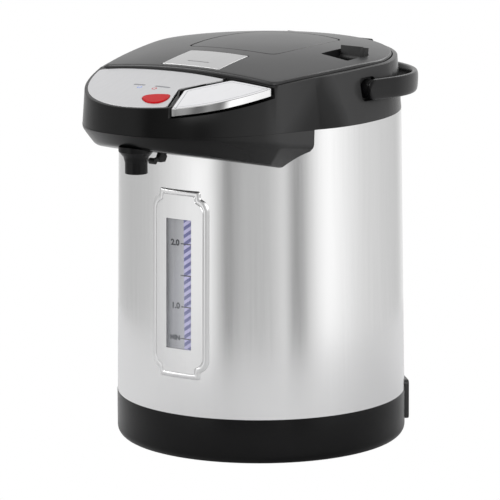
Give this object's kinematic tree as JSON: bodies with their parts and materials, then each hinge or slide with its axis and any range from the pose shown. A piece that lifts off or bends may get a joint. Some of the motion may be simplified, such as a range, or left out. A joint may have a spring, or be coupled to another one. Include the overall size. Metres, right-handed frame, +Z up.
{
  "type": "electric thermo pot",
  "caption": "Electric thermo pot with a round steel body, level gauge, beak-shaped dispensing head, hinged lid with manual air pump, dispense paddle and swinging carry handle.",
  "frame": {"origin": "on the body's axis, on the plane that the rubber feet rest on", "axes": "+Z up; -Y towards the front, where the spout and the gauge are; +X to the right of a viewer who faces the front"},
  "size_m": [0.21, 0.2959, 0.29],
  "materials": {
    "black_gloss": "glossy",
    "black_matte": "matte",
    "rubber": "matte",
    "pin_steel": "satin",
    "brass": "satin",
    "sleeve_steel": "brushed",
    "frame_silver": "satin",
    "clear": "clear",
    "scale": "printed scale",
    "tank_steel": "satin",
    "silicone": "satin",
    "cast": "cast",
    "white_plastic": "satin",
    "board": "satin",
    "panel_silver": "satin",
    "red_light": "clear lens",
    "blue_light": "clear lens",
    "red": "glossy",
    "paddle_silver": "satin",
    "black_satin": "satin"
  },
  "bodies": {
    "pot": {"base_ring": "black_gloss", "bottom_plate": "black_matte", "rubber_feet": "rubber", "base_screws": "pin_steel", "inlet_bezel": "black_matte", "inlet_pins": "brass", "body_shell": "sleeve_steel", "gauge_bezel": "frame_silver", "gauge_window": "clear", "scale_strip": "scale", "sight_tube": "clear", "inner_tank": "tank_steel", "tank_seal": "silicone", "heater_plate": "cast", "thermostats": "white_plastic", "pump_housing": "white_plastic", "impeller_axle": "pin_steel", "pump_motor": "pin_steel", "intake_hose": "silicone", "riser_hose": "silicone", "power_board": "board", "collar": "black_gloss", "neck_ring": "black_matte", "nose_underside": "black_gloss", "spout_nozzle": "black_gloss", "spout_pipe": "silicone", "cup_lever_pin": "pin_steel", "control_panel": "panel_silver", "panel_tray": "black_gloss", "boil_light": "red_light", "warm_light": "blue_light", "control_board": "board", "paddle_pin": "pin_steel", "paddle_cradle": "black_matte", "paddle_switch": "black_matte", "paddle_spring": "pin_steel", "lid_hinge_pin": "pin_steel", "handle_pivots": "pin_steel"},
    "lid": {"lid_cover": "black_satin", "lid_base": "black_matte", "lid_liner": "tank_steel", "lid_gasket": "silicone", "air_pump_base": "white_plastic", "bellows": "rubber", "bellows_spring": "pin_steel", "steam_valve": "white_plastic", "latch_pin": "pin_steel", "lock_lever_pin": "pin_steel"},
    "impeller": {"pump_impeller": "white_plastic"},
    "press": {"press_plate": "black_satin"},
    "latch": {"latch_plate": "panel_silver"},
    "bolt": {"latch_bolt": "black_matte"},
    "lock": {"lock_lever": "black_matte"},
    "button": {"reboil_button": "red"},
    "paddle": {"dispense_paddle": "paddle_silver"},
    "cup_switch": {"cup_lever": "black_matte"},
    "handle": {"carry_handle": "black_gloss"}
  },
  "joints": [
    {"name": "impeller_spin", "type": "hinge", "parent": "pot", "child": "impeller", "pos_m": [0.0066, -0.058, 0.033], "axis": [0, 0, 1], "continuous": true},
    {"name": "lid_hinge", "type": "hinge", "parent": "pot", "child": "lid", "pos_m": [0, 0.0915, 0.2785], "axis": [-1, 0, 0], "range_deg": [0, 85]},
    {"name": "press_plate_slide", "type": "slide", "parent": "lid", "child": "press", "axis": [0, 0, -1], "range_m": [0, 0.012], "stiffness_N_per_m": 300, "springref_m": -0.01, "deforming": ["bellows", "bellows_spring"]},
    {"name": "latch_lift", "type": "hinge", "parent": "lid", "child": "latch", "pos_m": [0, -0.0529, 0.28597], "axis": [-1, 0, 0], "range_deg": [0, 24], "stiffness_Nm_per_rad": 0.15, "springref_deg": -11.46},
    {"name": "bolt_slide", "type": "slide", "parent": "lid", "child": "bolt", "axis": [0, 1, 0], "range_m": [0, 0.0033]},
    {"name": "lock_lever_hinge", "type": "hinge", "parent": "lid", "child": "lock", "pos_m": [0.0695, 0.0165, 0.28047], "axis": [1, 0, 0], "range_deg": [0, 85]},
    {"name": "button_press", "type": "slide", "parent": "pot", "child": "button", "axis": [0, 0.1867, -0.9824], "range_m": [0, 0.0012], "stiffness_N_per_m": 900, "springref_m": -0.0008},
    {"name": "paddle_press", "type": "hinge", "parent": "pot", "child": "paddle", "pos_m": [0.05, -0.0995, 0.26933], "axis": [1, 0, 0], "range_deg": [0, 2], "stiffness_Nm_per_rad": 1, "springref_deg": -3.44, "deforming": ["paddle_spring"]},
    {"name": "cup_lever_hinge", "type": "hinge", "parent": "pot", "child": "cup_switch", "pos_m": [0, -0.1238, 0.24], "axis": [1, 0, 0], "range_deg": [0, 12], "stiffness_Nm_per_rad": 0.02, "springref_deg": -8.59},
    {"name": "handle_swing", "type": "hinge", "parent": "pot", "child": "handle", "pos_m": [0, -0.0072, 0.2645], "axis": [1, 0, 0], "range_deg": [0, 98]}
  ],
  "couplings": [
    {"joint": "bolt_slide", "follows": "latch_lift", "m_per_rad": 0.007639}
  ]
}
